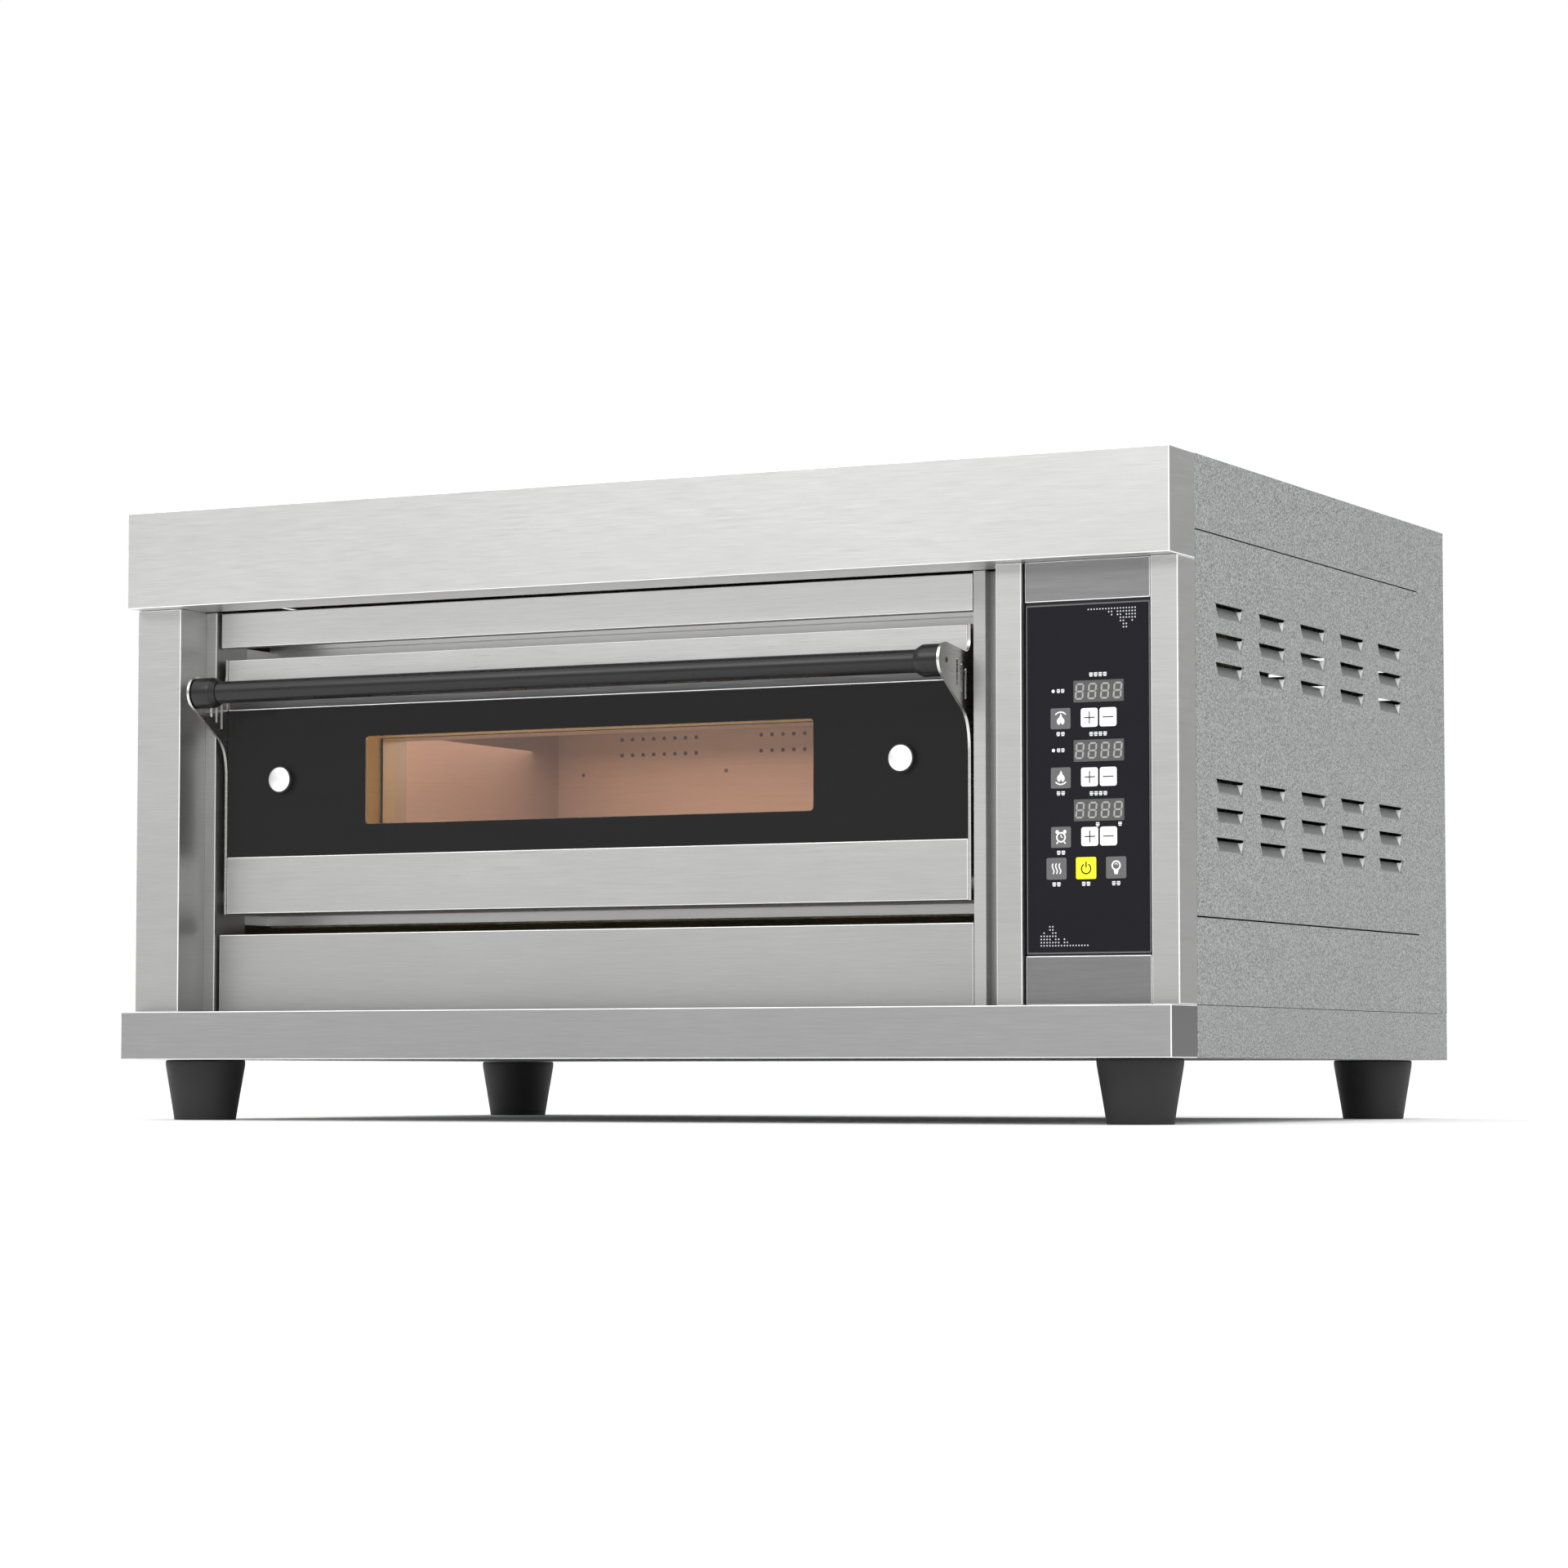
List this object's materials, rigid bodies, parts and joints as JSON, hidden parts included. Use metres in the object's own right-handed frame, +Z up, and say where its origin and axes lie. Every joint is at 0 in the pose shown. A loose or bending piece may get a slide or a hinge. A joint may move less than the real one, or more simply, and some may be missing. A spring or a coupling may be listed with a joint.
{
  "type": "deck oven",
  "caption": "Single-deck electric bakery oven: stainless front, drop-down glass door with bar handle, touch controls at the right, louvred sides, four tapered feet.",
  "frame": {"origin": "floor level under the centre of the oven's bounding box", "axes": "+X to the right seen from the front, +Y from the front towards the back, +Z up"},
  "size_m": [1.222, 0.8234, 0.659],
  "materials": {
    "stainless": "fine horizontal brushing, satin",
    "control_plates": "fine satin, darker in the recess",
    "hammertone_paint": "grey hammertone, fine speckle, semi-matt",
    "rubber_feet": "matt moulded",
    "plated_steel": "zinc plated, dull",
    "spring_steel": "oiled spring wire",
    "black_handle": "satin black",
    "polished_caps": "mirror polished",
    "chamber_steel": "heat-tinted sheet, satin",
    "hearth": "fired refractory, matt",
    "mineral_wool": "pressed mineral wool",
    "heating_sheath": "dark oxidised tube",
    "lamp_ceramic": "glazed white",
    "lamp_glass": "clear",
    "touch_glass": "dark navy back-printed touch glass, polished edge",
    "black_plastic": "moulded",
    "circuit_board": "green solder mask",
    "black_glass": "black back-printed with a clear window",
    "clear_glass": "clear, slightly warm",
    "door_seal": "braided heat-resistant seal"
  },
  "bodies": {
    "oven": {"hood_fascia": "stainless", "base_plinth": "stainless", "column_left": "stainless", "column_right": "stainless", "control_strip": "stainless", "jamb_left": "stainless", "jamb_right": "stainless", "upper_front_panel": "stainless", "lower_front_panel": "stainless", "chamber_front_frame": "stainless", "control_upper_plate": "control_plates", "control_lower_plate": "control_plates", "top_cover": "hammertone_paint", "rear_cover": "hammertone_paint", "base_tray": "hammertone_paint", "side_panel_left": "hammertone_paint", "side_panel_right": "hammertone_paint", "lower_side_panel_left": "hammertone_paint", "lower_side_panel_right": "hammertone_paint", "foot_front_left": "rubber_feet", "foot_front_right": "rubber_feet", "foot_rear_left": "rubber_feet", "foot_rear_right": "rubber_feet", "hinge_bearing_left": "plated_steel", "hinge_bearing_right": "plated_steel", "steam_flue": "plated_steel", "door_spring_left": "spring_steel", "door_spring_right": "spring_steel", "chamber_liner": "chamber_steel", "hearth_stone": "hearth", "chamber_insulation": "mineral_wool", "upper_heating_element": "heating_sheath", "lower_heating_element": "heating_sheath", "upper_thermocouple": "heating_sheath", "lower_thermocouple": "heating_sheath", "chamber_lamp": "lamp_ceramic", "terminal_block": "lamp_ceramic", "lamp_cover": "lamp_glass", "control_glass": "touch_glass", "control_tray": "black_plastic", "power_contactor": "black_plastic", "cable_gland": "black_plastic", "control_board": "circuit_board"},
    "door": {"door_side_plate_left": "stainless", "door_side_plate_right": "stainless", "door_top_strip": "stainless", "door_bottom_strip": "stainless", "door_glass": "black_glass", "door_inner_glass": "clear_glass", "window_tunnel": "stainless", "door_shell": "plated_steel", "door_gasket": "door_seal", "handle_tube": "black_handle", "handle_sleeve_left": "black_handle", "handle_sleeve_right": "black_handle", "glass_cap_left": "polished_caps", "glass_cap_right": "polished_caps", "hinge_pin_left": "plated_steel", "hinge_pin_right": "plated_steel"}
  },
  "joints": [
    {"name": "door_hinge", "type": "hinge", "parent": "oven", "child": "door", "pos_m": [-0.0855, -0.30525, 0.242], "axis": [1, 0, 0], "range_deg": [0, 90]}
  ]
}
